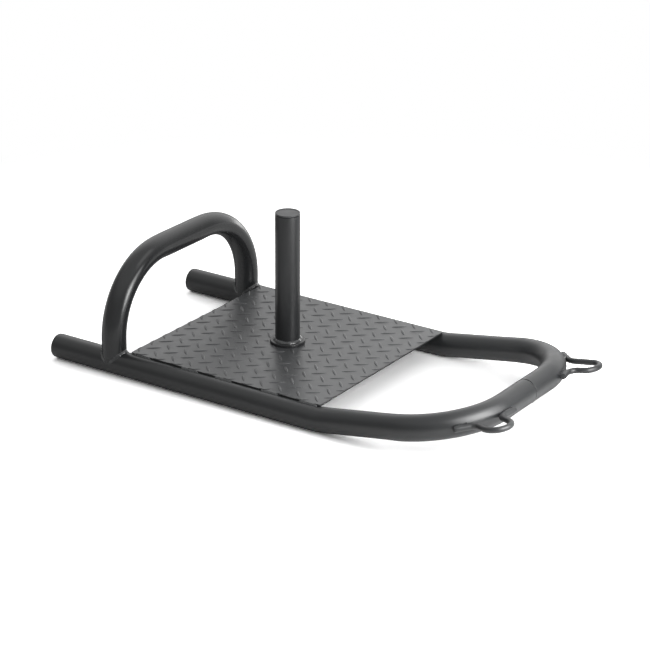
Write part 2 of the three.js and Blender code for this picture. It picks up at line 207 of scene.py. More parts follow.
def turned(profile, columns, closed=False):
    """A turned skin: the profile's points (radius, height) carried round a vertical axis,
    x = r cos a, y = r sin a, z = height. A closed profile's last point joins its first."""
    angle = np.linspace(0, 2 * np.pi, columns, endpoint=False)
    radius, height = profile[:, :1], profile[:, 1:]
    grid = np.stack([radius * np.cos(angle), radius * np.sin(angle), height + 0 * angle], axis=-1)
    return shell(grid, rows_meet=closed)


def bent_line(corners, bends):
    """A line of straight legs whose inner corners are rounded to the given bend radii. Each leg
    is start, direction, inward direction, radius (0 where straight) and length. A bend of radius
    r through angle t starts r tan(t / 2) before its corner and is r t long."""
    corners = np.array(corners, float)
    legs = []
    at, heading = corners[0], unit(corners[1] - corners[0])
    for corner, after, radius in zip(corners[1:-1], corners[2:], bends):
        onward = unit(after - corner)
        turn = math.acos(float(np.clip(heading @ onward, -1, 1)))
        setback = radius * math.tan(turn / 2)
        inward = unit(onward - (onward @ heading) * heading)
        legs.append((at, heading, inward, 0, np.linalg.norm(corner - heading * setback - at)))
        legs.append((corner - heading * setback, heading, inward, radius, radius * turn))
        at, heading = corner + onward * setback, onward
    legs.append((at, heading, legs[-1][2], 0, np.linalg.norm(corners[-1] - at)))
    start, direction, inward, radius, length = map(np.array, zip(*legs))
    return dict(start=start, direction=direction, inward=inward, radius=radius, length=length,
                reached=np.concatenate([[0], np.cumsum(length)]))


def walk(line, distance):
    """Points and headings at distances d along a bent line: start + heading d on a straight
    leg, and start + heading r sin(d / r) + inward r (1 - cos(d / r)) on a bend of radius r."""
    leg = np.searchsorted(line["reached"], distance, side="right") - 1
    leg = np.clip(leg, 0, len(line["length"]) - 1)
    done = distance - line["reached"][leg]
    bends = line["radius"][leg] > 0
    radius = np.where(bends, line["radius"][leg], 1.0)
    angle = np.where(bends, done / radius, 0.0)
    ahead = np.where(bends, radius * np.sin(angle), done)[..., None]
    aside = np.where(bends, radius * (1 - np.cos(angle)), 0.0)[..., None]
    direction, inward = line["direction"][leg], line["inward"][leg]
    points = line["start"][leg] + direction * ahead + inward * aside
    return points, direction * np.cos(angle)[..., None] + inward * np.sin(angle)[..., None]


def stations(line, straight_step, bend_step):
    """Distances along a bent line: about straight_step apart on its straight legs, and about
    bend_step radians apart in its bends."""
    marks = [0.0]
    for start, radius, length in zip(line["reached"], line["radius"], line["length"]):
        step = bend_step * radius if radius else straight_step
        marks.append(start + np.linspace(0, length, max(2, round(length / step) + 1))[1:])
    return np.concatenate([np.atleast_1d(m) for m in marks])


def bend_share(line, distance, ramp=0.02):
    """How far a place is into a bend: 0 on straight legs, 1 in bends, eased by s^2 (3 - 2 s)
    where s grows over the ramp to either side of the bend's ends."""
    total = np.zeros_like(distance)
    for start, radius, length in zip(line["reached"], line["radius"], line["length"]):
        if radius:
            rise = np.clip((distance - start + ramp) / (2 * ramp), 0, 1)
            fall = np.clip((start + length + ramp - distance) / (2 * ramp), 0, 1)
            share = np.minimum(rise, fall)
            total += share ** 2 * (3 - 2 * share)
    return np.clip(total, 0, 1)


def carried(line, distance, radius, upright, squeeze=0.0, spread=0.0):
    """A round section carried along a bent line. At column angle a the point is the line's
    point + across r cos a + upright r sin a, where across = upright x heading. In bends r is
    less by squeeze across and, clear of the floor, more by spread upright, as in a tube bent
    on a mandrel."""
    columns = distance.shape[1]
    angle = (np.arange(columns) + 0.5) * 2 * np.pi / columns
    points, heading = walk(line, distance)
    up = upright(heading) if callable(upright) else np.broadcast_to(upright, heading.shape)
    across = np.cross(up, heading)
    bend = bend_share(line, distance)
    clear = np.clip((points[..., 2] - spread_from) / spread_ramp, 0, 1)
    wide = radius * np.cos(angle) * (1 - squeeze * bend)
    tall = radius * np.sin(angle) * (1 + spread * bend * clear)
    return points + across * wide[..., None] + up * tall[..., None]


def wrap(values, columns):
    """One value for each row, repeated over the columns."""
    return np.repeat(np.asarray(values, float)[:, None], columns, axis=1)


def eased_edge(radius):
    """A quarter round in four points: r sin a along the piece, r cos a out from its axis."""
    arc = np.linspace(0, np.pi / 2, 4)
    return radius * np.sin(arc), radius * np.cos(arc)


def open_tube(line, upright, spread, columns=72):
    """A tube with rounded lips: the outer wall forward along the line, a lip, the bore back and
    a lip, which meets the outer wall again."""
    whole = line["reached"][-1]
    marks = stations(line, straight_step=0.03, bend_step=math.radians(3))
    inner = marks[(marks > 2 * lip_radius) & (marks < whole - 2 * lip_radius)]
    reach, drop = eased_edge(lip_radius)
    lead = whole - lip_radius
    distance = np.concatenate([[2 * lip_radius], inner, [whole - 2 * lip_radius], lead + reach,
                               lead + reach[::-1], inner[::-1], lip_radius - reach,
                               lip_radius - reach[::-1]])
    wall = tube_radius - lip_radius
    bore = tube_bore + lip_radius
    radius = np.concatenate([np.full(len(inner) + 2, tube_radius), wall + drop, bore - drop[::-1],
                             np.full(len(inner), tube_bore), bore - drop, wall + drop[::-1]])
    grid = carried(line, wrap(distance, columns), wrap(radius, columns), upright, spread=spread)
    return shell(grid, rows_meet=True)


def bar(line, radius, upright, columns=32, ease=0.0006):
    """A solid round bar along a line, its end faces closed at a pole and their edges eased."""
    whole = line["reached"][-1]
    marks = stations(line, straight_step=0.01, bend_step=math.radians(6))
    inner = marks[(marks > 2 * ease) & (marks < whole - 2 * ease)]
    reach, drop = eased_edge(ease)
    distance = np.concatenate([[0, 0], ease - reach[::-1], inner, whole - ease + reach, [whole, whole]])
    face = radius - ease
    inside_face = face * 0.9
    size = np.concatenate([[0, inside_face], face + drop[::-1], np.full(len(inner), radius),
                           face + drop, [inside_face, 0]])
    return shell(carried(line, wrap(distance, columns), wrap(size, columns), upright))


# What every weld bead shares: how full its face is, how many waves and how much its legs swell,
# how far a ripple lags at the toes, and how deep the toes and the root are sunk into the metal.
bead_fullness = 1.55
bead_columns = 11
bead_waves = np.array([2, 3, 5, 8, 13])
bead_swell = 0.28
ripple_lag = 0.42
toe_sink = 0.00012
root_sink = 0.0004


def weld_bead(corner, leg_a, leg_b, pitch, ripple, seed, closed=False, taper=0.004):
    """A fillet weld. Across the joint the face is corner + leg_a cos^k v + leg_b sin^k v for v
    from 0 to 90 degrees, so k = 2 is flat and less is fuller. Along it the legs swell by a slow
    sum of sines, and each stroke of the torch leaves a scallop sqrt(1 - p^2), where p runs from
    -1 to 1 over one pitch and lags at the toes. Open ends shrink by the root of the way to the
    end over taper."""
    steps = np.linalg.norm(np.diff(corner, axis=0), axis=1)
    along = np.concatenate([[0], np.cumsum(steps)])
    whole = along[-1] + (np.linalg.norm(corner[0] - corner[-1]) if closed else 0)
    phases = np.random.default_rng(seed).uniform(0, 2 * np.pi, len(bead_waves))
    swell = np.sin(2 * np.pi * bead_waves * along[:, None] / whole + phases).mean(axis=1) * bead_swell
    ends = 1.0 if closed else np.sqrt(np.clip(np.minimum(along, whole - along) / taper, 0, 1))
    size = ((1 + swell) * ends)[:, None]
    v = np.linspace(0, 1, bead_columns)
    share_a = (np.cos(v * np.pi / 2) ** bead_fullness)[:, None]
    share_b = (np.sin(v * np.pi / 2) ** bead_fullness)[:, None]
    strokes = max(1, round(whole / pitch))
    lag = ripple_lag * (2 * v - 1) ** 2
    place = 2 * np.mod(along[:, None] * strokes / whole + lag + swell[:, None], 1) - 1
    scallop = np.sqrt(np.clip(1 - place ** 2, 0, 1)) * np.sin(np.pi * v) * ripple
    outward = unit(leg_a + leg_b)
    legs = leg_a[:, None] * share_a + leg_b[:, None] * share_b
    face = corner[:, None] + legs * size[..., None]
    face = face + outward[:, None] * ((scallop - toe_sink) * size)[..., None]
    root = corner - outward * root_sink
    grid = np.concatenate([face, root[:, None]], axis=1)
    if not closed:
        grid[0], grid[-1] = root[0], root[-1]
    return shell(grid, rows_meet=closed)


# Materials

def colour(code):
    """An sRGB hex code as linear colour."""
    channels = np.array([int(code[i:i + 2], 16) for i in (1, 3, 5)]) / 255
    linear = np.where(channels <= 0.04045, channels / 12.92, ((channels + 0.055) / 1.055) ** 2.4)
    return (*linear.tolist(), 1.0)


def add(tree, kind, inputs=(), **settings):
    """Adds one node, sets its fields, and gives its inputs values or other nodes' outputs."""
    made = tree.nodes.new("ShaderNode" + kind)
    for field, value in settings.items():
        setattr(made, field, value)
    for socket, value in dict(inputs).items():
        if isinstance(value, bpy.types.NodeSocket):
            tree.links.new(value, made.inputs[socket])
        else:
            made.inputs[socket].default_value = value
    return made


def new_material(name):
    """An empty node material and its tree."""
    made = bpy.data.materials.new(name)
    made.use_nodes = True
    made.node_tree.nodes.clear()
    return made, made.node_tree


# Noise scales, in features to the metre.
film_drift = 12.0       # the powder's thickness, over some 80 mm
film_patches = 55.0     # its gloss, in patches of 18 mm
orange_peel = 240.0     # its skin, in bumps of 4 mm
powder_grain = 1000.0   # its grain, at 1 mm as coarse as it needs to show
mould_drift = 60.0      # moulded plastic's shade and gloss, over 17 mm
mould_grain = 1500.0    # the eroded mould's grain, drawn at 0.7 mm so that it shows

# How deep the bumps are, in metres.
peel_depth = 0.0004
grain_depth = 0.0001


def powder_coat(name, dark, light, smooth, rough, peel, grain, coat=0.0, veil=0.35):
    """Polyester powder baked on steel: a satin skin with a slight orange peel and a finer grain,
    a shade that drifts with the film's thickness, and a gloss that drifts with it. Seen at a low
    angle its grain hides the reflection, so the roughness grows by veil towards the outline."""
    material, tree = new_material(name)
    place = add(tree, "TexCoord").outputs["Object"]
    drift = add(tree, "TexNoise", {"Vector": place, "Scale": film_drift, "Detail": 3.0}).outputs["Fac"]
    patches = add(tree, "TexNoise", {"Vector": place, "Scale": film_patches, "Detail": 4.0}).outputs["Fac"]
    skin = add(tree, "TexNoise", {"Vector": place, "Scale": orange_peel, "Detail": 2.0}).outputs["Fac"]
    fine = add(tree, "TexNoise", {"Vector": place, "Scale": powder_grain, "Detail": 2.0}).outputs["Fac"]
    shade = add(tree, "Mix", {"Factor": drift, "A": colour(dark), "B": colour(light)}, data_type="RGBA")
    gloss = add(tree, "MapRange", {"Value": patches, "From Min": 0.3, "From Max": 0.7,
                                   "To Min": smooth, "To Max": rough}).outputs["Result"]
    outline = add(tree, "LayerWeight", {"Blend": 0.5}).outputs["Facing"]
    outline = add(tree, "MapRange", {"Value": outline, "From Min": 0.55, "From Max": 1.0,
                                     "To Max": veil}).outputs["Result"]
    gloss = add(tree, "Math", {0: gloss, 1: outline}, operation="ADD").outputs["Value"]
    first = add(tree, "Bump", {"Height": skin, "Strength": peel, "Distance": peel_depth})
    second = add(tree, "Bump", {"Height": fine, "Strength": grain, "Distance": grain_depth,
                                "Normal": first.outputs["Normal"]})
    paint = add(tree, "BsdfPrincipled", {"Base Color": shade.outputs["Result"], "Roughness": gloss,
                                         "Normal": second.outputs["Normal"], "IOR": 1.5,
                                         "Coat Weight": coat, "Coat Roughness": 0.12})
    add(tree, "OutputMaterial", {"Surface": paint.outputs["BSDF"]})
    return material, tree, paint, gloss, shade


# Satin black powder coat on drawn steel tube: soft long highlights, hardly any texture.
tube_coat = powder_coat("satin_powder_coat_on_steel_tube", "#1d1e1f", "#252627",
                        smooth=0.29, rough=0.35, peel=0.12, grain=0.05, veil=0.42)[0]

# The push handle is rubbed smoother by hands, so that its reflections are tighter.
handle_coat = powder_coat("powder_coat_rubbed_smooth_on_handle", "#1d1e1f", "#252627",
                          smooth=0.17, rough=0.22, peel=0.08, grain=0.05, veil=0.5)[0]

# The same powder over weld beads, where it pools and shines more between the ripples.
weld_coat = powder_coat("powder_coat_over_weld_bead", "#28292a", "#353637",
                        smooth=0.17, rough=0.3, peel=0.45, grain=0.25, coat=0.4)[0]

# Powder coat on hot-rolled chequer plate: the same coat painted a little lighter, as a painted sheen where
# the deck faces the light, and drier on the lugs, where it is thin.
# From 0.3 mm below its top on, the plate's edges are dull, and their colour is painted near black as
# painted shade.
lug_dryness = 0.12
crest_from = 0.0004
edge_dullness = 0.4
edge_deep, edge_shallow = 0.0009, 0.0003
# Painted sheen: the plate's dark and light colours are set lighter than the tubes' coat.
plate_coat, plate_tree, plate_paint, plate_gloss, plate_shade = powder_coat(
    "powder_coat_on_chequer_plate", "#363738", "#3f4041",
    smooth=0.30, rough=0.38, peel=0.16, grain=0.16, veil=0.1,
)
plate_place = add(plate_tree, "TexCoord").outputs["Object"]
plate_height = add(plate_tree, "SeparateXYZ", {0: plate_place}).outputs["Z"]
crest = add(plate_tree, "MapRange", {
    "Value": plate_height, "From Min": deck_top + crest_from, "From Max": deck_top + lug_height,
    "To Min": 0.0, "To Max": lug_dryness}).outputs["Result"]
edge_dullness_and_painted_shade = add(plate_tree, "MapRange", {
    "Value": plate_height, "From Min": deck_top - edge_deep, "From Max": deck_top - edge_shallow,
    "To Min": edge_dullness, "To Max": 0.0}).outputs["Result"]
dull = add(plate_tree, "Math", {0: crest, 1: edge_dullness_and_painted_shade}, operation="ADD").outputs["Value"]
dull_gloss = add(plate_tree, "Math", {0: plate_gloss, 1: dull}, operation="ADD").outputs["Value"]
plate_tree.links.new(dull_gloss, plate_paint.inputs["Roughness"])
# Painted shade: the edge faces' colour is mixed towards near black.
painted_edge_shade_share = add(plate_tree, "MapRange", {"Value": edge_dullness_and_painted_shade, "From Max": edge_dullness}).outputs["Result"]
painted_shade_on_edges = add(plate_tree, "Mix", {"Factor": painted_edge_shade_share, "A": plate_shade.outputs["Result"],
                                     "B": colour("#151617")}, data_type="RGBA").outputs["Result"]
plate_tree.links.new(painted_shade_on_edges, plate_paint.inputs["Base Color"])


def moulded_plastic(name, dark, light, smooth, rough, grain):
    """Injection-moulded polyethylene: an even shade, and the fine grain that an eroded mould
    leaves."""
    material, tree = new_material(name)
    place = add(tree, "TexCoord").outputs["Object"]
    drift = add(tree, "TexNoise", {"Vector": place, "Scale": mould_drift, "Detail": 2.0}).outputs["Fac"]
    fine = add(tree, "TexNoise", {"Vector": place, "Scale": mould_grain, "Detail": 1.0}).outputs["Fac"]
    shade = add(tree, "Mix", {"Factor": drift, "A": colour(dark), "B": colour(light)}, data_type="RGBA")
    gloss = add(tree, "MapRange", {"Value": drift, "From Min": 0.35, "From Max": 0.65,
                                   "To Min": smooth, "To Max": rough}).outputs["Result"]
    bump = add(tree, "Bump", {"Height": fine, "Strength": grain, "Distance": grain_depth})
    body = add(tree, "BsdfPrincipled", {"Base Color": shade.outputs["Result"], "Roughness": gloss,
                                        "Normal": bump.outputs["Normal"], "IOR": 1.51})
    add(tree, "OutputMaterial", {"Surface": body.outputs["BSDF"]})
    return material


# The cap is painted grey as a painted sheen, like the deck's lighter coat, and is matt. The plugs are
# nearly black, and only their rims show.
cap_plastic = moulded_plastic("moulded_polyethylene_cap", "#3a3b3c", "#424344",
                              smooth=0.42, rough=0.5, grain=0.4)
plug_plastic = moulded_plastic("moulded_polyethylene_plug", "#1c1d1e", "#232425",
                               smooth=0.45, rough=0.55, grain=0.4)


# Frame tubes and their plugs

nose_normal = np.array([-math.sin(rise_angle), 0, math.cos(rise_angle)])


def frame_upright(heading):
    """Square to the heading and nearest to vertical on the runner and the rise; square to the
    nose's plane from there on."""
    slope = np.stack([-heading[..., 2], 0 * heading[..., 0], heading[..., 0]], axis=-1)
    raised = heading[..., 2:] >= math.sin(rise_angle) - 1e-6
    turned_aside = np.abs(heading[..., 1:2]) > 1e-6
    return np.where(raised | turned_aside, nose_normal, slope)


def nose_place(x, y, z):
    """A point of the nose's plane: x along the rise from its foot, y across, z square to it."""
    return np.stack([
        rise_x + x * math.cos(rise_angle) - z * math.sin(rise_angle),
        y + 0 * x,
        axis_height + x * math.sin(rise_angle) + z * math.cos(rise_angle),
    ], axis=-1)


def frame_half(side):
    """Half of the frame: the runner, the rise, the nose bend and half of the nose, as far as the
    seam's opening."""
    line = bent_line(
        [(tail_x, side * half_spacing, axis_height), (rise_x, side * half_spacing, axis_height),
         (nose_x, side * half_spacing, nose_z), (nose_x, seam_y + side * seam_opening / 2, nose_z)],
        [rise_bend, nose_bend],
    )
    return open_tube(line, frame_upright, frame_spread)


plug_gap = 0.0002
plug_stem_radius, plug_stem_length = 0.0222, 0.019
plug_rim_radius, plug_rim_depth = 0.0242, 0.0030
plug_lip_radius = 0.0125
plug_dish_radius, plug_dish_depth = 0.0115, 0.0024


def skid_plug(side):
    """A plug turned about the vertical and laid over, (x, y, z) to (-z, y, x), so that its stem
    points forward into the runner. Its face has a shallow dish."""
    profile = rounded(
        [(0, -plug_stem_length), (plug_stem_radius, -plug_stem_length), (plug_stem_radius, 0),
         (plug_rim_radius, 0), (plug_rim_radius, plug_rim_depth), (plug_lip_radius, plug_rim_depth),
         (plug_dish_radius, plug_dish_depth), (0, plug_dish_depth)],
        [0, 0.001, 0, 0.0002, 0.0007, 0.0004, 0.0004, 0],
    )
    points, quads, triangles = turned(profile, columns=64)
    laid_over = np.stack([-points[:, 2], points[:, 1], points[:, 0]], axis=-1)
    return laid_over + [tail_x - plug_gap, side * half_spacing, axis_height], quads, triangles


for name, side in SIDES:
    piece(f"frame_tube_{name}", [frame_half(side)], tube_coat)
    piece(f"skid_plug_{name}", [skid_plug(side)], plug_plastic)


# Nose seam: the weld is a flat patch round the tube's front and underside. Its middle and reach
# are angles round the tube, and its rim and its root are sunk into the tube's skin.

patch_middle = math.radians(-25)
patch_reach = math.radians(38)
patch_half_width = 0.0037
patch_height = 0.0007
patch_ripple = 0.00008
patch_sink = 0.0001
patch_root = 0.0005


def seam_patch():
    """On the tube's skin at angle a from the front, with u across the seam and w along the bead,
    both from -1 to 1: the height is h (1 - u^2)^1.5 (1 - w^6), the half width is b sqrt(1 - w^8),
    and small sines make its edge and its top uneven."""
    w = np.linspace(-1, 1, 97)[:, None]
    u = np.linspace(-1, 1, 17)[None]
    angle = patch_middle + w * patch_reach
    wave = 1 + 0.10 * np.sin(9 * w + 1) + 0.06 * np.sin(23 * w)
    across = seam_y + patch_half_width * u * wave * np.sqrt(np.clip(1 - w ** 8, 0, 1))
    scallop = patch_ripple * np.sin(60 * w + 2.2 * u ** 2)
    lift = (patch_height + scallop) * (1 - u ** 2) ** 1.5 * (1 - w ** 6) - patch_sink
    skin = np.concatenate([tube_radius + lift, 0 * lift + tube_radius - patch_root], axis=1)
    across = np.concatenate([across, across[:, ::-1]], axis=1)
    grid = np.stack([nose_x + skin * np.cos(angle), across, nose_z + skin * np.sin(angle)], axis=-1)
    grid[0] = grid[0].mean(axis=0)
    grid[-1] = grid[-1].mean(axis=0)
    return shell(grid)


piece("nose_seam_weld", [seam_patch()], tube_coat)


# Push handle and its welds

cope_gap = 0.0003


def handle_tube(columns=72):
    """The arch's tube with both feet notched round the runners: at column angle a the wall
    starts where its height over the runner's axis is sqrt(R^2 - (r cos a)^2), and the rows
    between the notch and the bend are spread evenly over what is left."""
    line = bent_line(
        [(handle_x, -half_spacing, axis_height), (handle_x, -half_spacing, handle_height),
         (handle_x, half_spacing, handle_height), (handle_x, half_spacing, axis_height)],
        [handle_bend, handle_bend],
    )
    whole = line["reached"][-1]
    foot = line["reached"][1]
    angle = (np.arange(columns) + 0.5) * 2 * np.pi / columns
    marks = stations(line, straight_step=0.02, bend_step=math.radians(3))
    middle = wrap(marks[(marks > foot) & (marks < whole - foot)], columns)

    def wall(radius):
        cope = np.sqrt((tube_radius + cope_gap) ** 2 - (radius * np.cos(angle)) ** 2)
        share = np.linspace(0, 1, 8)[:, None]
        start = cope + (foot - cope) * share
        return np.concatenate([start, middle, whole - start[::-1]])

    outer, bore = wall(tube_radius), wall(tube_bore)
    distance = np.concatenate([outer, bore[::-1]])
    radius = np.concatenate([np.full(outer.shape, tube_radius), np.full(bore.shape, tube_bore)])
    upright = np.array([1.0, 0.0, 0.0])
    grid = carried(line, distance, radius, upright, handle_squeeze, handle_spread)
    return shell(grid, rows_meet=True)


def handle_bead(side, ahead):
    """The bead in front of a foot or behind it. Its root is where two tubes of radius r cross,
    (r cos a, r sin a, r cos a) from the runner's axis, for a up to 80 degrees to either side."""
    angle = np.linspace(-1, 1, 181) * math.radians(80)
    root_radius = 0.0249
    corner = np.stack([handle_x + ahead * root_radius * np.cos(angle),
                       side * half_spacing + root_radius * np.sin(angle),
                       axis_height + root_radius * np.cos(angle)], axis=-1)
    leg = 0.0040 + 0.0003 * np.cos(angle)
    up = np.stack([0 * leg, 0 * leg, leg], axis=-1)
    out = np.stack([ahead * leg, 0 * leg, 0 * leg], axis=-1)
    return weld_bead(corner, up, out, pitch=0.0032, ripple=0.00015, seed=side + 2 * ahead + 10)


piece("push_handle", [handle_tube()], handle_coat)
for name, side in SIDES:
    for place, ahead in (("front", 1), ("rear", -1)):
        piece(f"handle_weld_{name}_{place}", [handle_bead(side, ahead)], weld_coat)


# Deck, its stitch welds and the crossbar under it. The lugs stop short of the plate's edges, one
# cut shorter than 3 mm there is left out, and so is one that the collar hides.

plate_corner = 0.004
plate_edge = 0.0005
lug_root = 0.0006
lug_margin = 0.0006
lug_cells = np.arange(-9, 10)
shortest_cut_lug = 0.003
hidden_under_collar = 0.012
flat_round_collar = 0.0003


def deck_skin():
    """The plate: a rectangle with rounded corners, scaled in and out by the profile's inset and
    lifted to its height."""
    across = deck_width / 2
    outline = rounded(
        [(deck_rear, -across), (deck_front, -across), (deck_front, across), (deck_rear, across)],
        [plate_corner] * 4, steps=8, margin=0.002,
    )
    middle = np.array([(deck_rear + deck_front) / 2, 0])
    half = np.array([(deck_front - deck_rear) / 2, across])
    profile = rounded([(1, deck_bottom), (0, deck_bottom), (0, deck_top), (1, deck_top)],
                      [0, plate_edge, plate_edge, 0])[1:-1]
    rows = [np.broadcast_to(middle, outline.shape)]
    rows += [middle + (outline - middle) * (1 - inset / half) for inset, _ in profile]
    rows.append(rows[0])
    heights = np.concatenate([[deck_bottom], profile[:, 1], [deck_top]])
    rings = [np.column_stack([row, np.full(len(row), z)]) for row, z in zip(rows, heights)]
    return shell(np.stack(rings))


def lug_skins():
    """The raised lugs: over u from -1 to 1 along a lug and v from -1 to 1 across it, the half
    width is w (1 - |u|^2.4) v and the height h (1 - u^4) (1 - v^6), so the crest is flat and the
    flanks are steep. Two grids half a pitch apart carry the two directions; what passes the
    deck's edge is cut there and what lies under the collar is left flat."""
    u = np.array([-1, -0.88, -0.55, 0, 0.55, 0.88, 1])[:, None]
    v = np.array([1, 0.9, 0.75, 0.4, -0.4, -0.75, -0.9, -1])[None]
    wide = lug_width / 2 * (1 - np.abs(u) ** 2.4) * v
    tall = lug_height * (1 - u ** 4) * (1 - v ** 6)
    top = np.stack([lug_length / 2 * u + 0 * v, wide, tall], axis=-1)
    under = np.stack([lug_length / 2 * u[:, 0], 0 * u[:, 0], 0 * u[:, 0] - lug_root], axis=-1)
    grid = np.concatenate([top, under[:, None]], axis=1)
    grid[0], grid[-1] = grid[0].mean(axis=0) * [1, 0, 0], grid[-1].mean(axis=0) * [1, 0, 0]
    skin = shell(grid)
    edge = np.array([[deck_rear, -deck_width / 2], [deck_front, deck_width / 2]])
    edge = edge + lug_margin * np.array([[1], [-1]])
    cells = np.stack(np.meshgrid(lug_cells, lug_cells, indexing="ij"), axis=-1).reshape(-1, 2)
    skins = []
    for number, turn in enumerate(lug_turns):
        centres = lug_start + (cells + number / 2) * lug_pitch
        spin = np.array([[math.cos(turn), math.sin(turn)], [-math.sin(turn), math.cos(turn)]])
        flat = skin[0][:, :2] @ spin
        reach = np.abs(flat).max(axis=0) - shortest_cut_lug
        kept = np.all((centres > edge[0] - reach) & (centres < edge[1] + reach), axis=1)
        kept &= np.linalg.norm(centres, axis=1) > collar_radius - hidden_under_collar
        ground = np.clip(centres[kept][:, None] + flat, edge[0], edge[1])
        height = np.broadcast_to(skin[0][:, 2], ground.shape[:2])
        covered = np.linalg.norm(ground, axis=-1) < collar_radius + flat_round_collar
        height = np.where(covered, -lug_root, height)
        skins.append(repeated(skin, np.concatenate([ground, (deck_top + height)[..., None]], axis=-1)))
    return skins


piece("deck_plate", [deck_skin(), *lug_skins()], plate_coat, crease=50)

# The stitches' middles as shares of the deck's length, and their legs.
stitch_places = (0.06, 0.32, 0.5, 0.742, 0.94)
stitch_half_length = 0.021
stitch_leg_up, stitch_leg_out, stitch_fall = 0.0029, 0.0038, 0.0003


def stitch_bead(side, number):
    """One stitch along the deck's long edge. One leg runs up the plate's edge, the other out
    over the runner, where it falls a little with the tube."""
    centre = deck_rear + stitch_places[number] * (deck_front - deck_rear)
    x = np.linspace(-stitch_half_length, stitch_half_length, 91)
    corner = np.stack([centre + x, side * (deck_width / 2) + 0 * x, deck_bottom + 0 * x], axis=-1)
    up = np.zeros_like(corner) + [0, 0, stitch_leg_up]
    out = np.zeros_like(corner) + [0, side * stitch_leg_out, -stitch_fall]
    return weld_bead(corner, up, out, pitch=0.003, ripple=0.00018, seed=20 + 10 * side + number)


for name, side in SIDES:
    for number in range(len(stitch_places)):
        piece(f"deck_stitch_{name}_{number + 1}", [stitch_bead(side, number)], weld_coat)


crossbar_end_setback = 0.0253
crossbar_drop = 0.0128


def crossbar():
    """A rectangular tube under the deck: a rounded rectangle carried along Y, outside and bore."""
    def section(x, z, corner):
        return rounded([(-x, -z), (x, -z), (x, z), (-x, z)], [corner] * 4, steps=5, margin=0.0006)

    outer, bore = section(0.025, 0.0123, corner=0.004), section(0.023, 0.0103, corner=0.002)
    end = half_spacing - crossbar_end_setback
    rows = [(outer, -end), (outer, 0), (outer, end), (bore, end), (bore, 0), (bore, -end)]
    rings = [np.column_stack([ring[:, 0], np.full(len(ring), y), ring[:, 1]]) for ring, y in rows]
    return shell(np.stack(rings) + [0, 0, deck_bottom - crossbar_drop], rows_meet=True)


piece("deck_crossbar", [crossbar()], tube_coat)


# Weight post, its collar, weld and cap, all turned about the post's axis

post_profile = rounded([(post_bore, post_base), (stock_radius, post_base),
                        (stock_radius, post_top), (post_bore, post_top)],
                       [0.0004, 0.0004, 0.0012, 0.0004])
piece("weight_post", [turned(post_profile, closed=True, columns=128)], tube_coat)

collar_profile = rounded([(collar_bore, post_base), (collar_radius, post_base),
                          (collar_radius, collar_top), (collar_bore, collar_top)],
                         [0.0003, 0.0006, 0.0011, 0.0003])
piece("post_collar", [turned(collar_profile, closed=True, columns=128)], tube_coat)


def post_bead():
    """The ring weld in the corner between the collar's top and the post."""
    angle = np.linspace(0, 2 * np.pi, 360, endpoint=False)
    ring = np.stack([np.cos(angle), np.sin(angle), 0 * angle], axis=-1)
    root_radius, leg_up, leg_out = 0.0251, 0.0046, 0.0048
    corner = ring * root_radius + [0, 0, collar_top]
    return weld_bead(corner, 0 * ring + [0, 0, leg_up], ring * leg_out, pitch=0.0042,
                     ripple=0.0003, seed=5, closed=True)


piece("post_weld", [post_bead()], weld_coat)

cap_stem_radius, cap_stem_foot = 0.0214, post_top - 0.0155
cap_rim_radius, cap_foot, cap_top = 0.0249, post_top + 0.0008, post_top + 0.0041
cap_lip_radius = 0.0224
cap_dish_radius, cap_dish = 0.0219, cap_top - 0.001
cap_profile = rounded(
    [(0, cap_stem_foot), (cap_stem_radius, cap_stem_foot), (cap_stem_radius, cap_foot),
     (cap_rim_radius, cap_foot), (cap_rim_radius, cap_top), (cap_lip_radius, cap_top),
     (cap_dish_radius, cap_dish), (0, cap_dish)],
    [0, 0.001, 0, 0.0009, 0.0008, 0.0003, 0.0003, 0],
)
piece("post_cap", [turned(cap_profile, columns=128)], cap_plastic)


# Tow eyes in the nose's plane. Their feet lie along the nose bend's outer wall, at angles that
# count from the direction ahead.

bend_middle_x = nose_run - nose_bend
bend_middle_y = half_spacing - nose_bend
foot_reach = nose_bend + stock_radius + seat_gap + bar_radius
foot_angles = {"outer": math.radians(45), "inner": math.radians(10)}
loop_tip_inset = 0.0064
toe_angle_on_wall = math.radians(13.5)
toe_angle_on_bar = math.radians(72)
root_height = 0.0009


def foot_line(angle):
    """The foot's middle on the bend's outer wall at that angle, and its heading inwards."""
    seat = np.array([bend_middle_x + foot_reach * math.cos(angle),
                     bend_middle_y + foot_reach * math.sin(angle)])
    return seat, np.array([math.sin(angle), -math.cos(angle)])


def arm_line(eye, level):
    """One arm of a loop: half the span to either side of the loop's axis, and along it."""
    heading = np.array([math.cos(eye["turn"]), math.sin(eye["turn"])])
    aside = np.array([-heading[1], heading[0]])
    loop_foot = np.array([nose_run + stock_radius, eye["centre"]])
    return loop_foot + aside * level * eye["span"] / 2, heading


def meet(line, other):
    """Where two lines of the plan cross: p + d (q - p) x e / d x e for lines p + d t and q + e t."""
    (p, d), (q, e) = line, other
    return p + d * ((q - p)[0] * e[1] - (q - p)[1] * e[0]) / (d[0] * e[1] - d[1] * e[0])


def eye_line(eye):
    """The bar's middle: out along the outer foot, up the outer arm, round the bow, whose radius
    is half the span, down the inner arm and out along the inner foot."""
    outer, inner = foot_line(foot_angles["outer"]), foot_line(foot_angles["inner"])
    outer_arm, inner_arm = arm_line(eye, 1), arm_line(eye, -1)
    tip = eye["reach"] - loop_tip_inset
    plan = np.array([outer[0] - outer[1] * eye["outer_tail"], meet(outer, outer_arm),
                     outer_arm[0] + outer_arm[1] * tip, inner_arm[0] + inner_arm[1] * tip,
                     meet(inner, inner_arm), inner[0] + inner[1] * eye["inner_tail"]])
    bow = eye["span"] / 2 - 1e-6
    return bent_line(nose_place(plan[:, 0], eye["side"] * plan[:, 1], 0 * plan[:, 0]),
                     [eye["shoulder"], bow, bow, eye["heel"]])


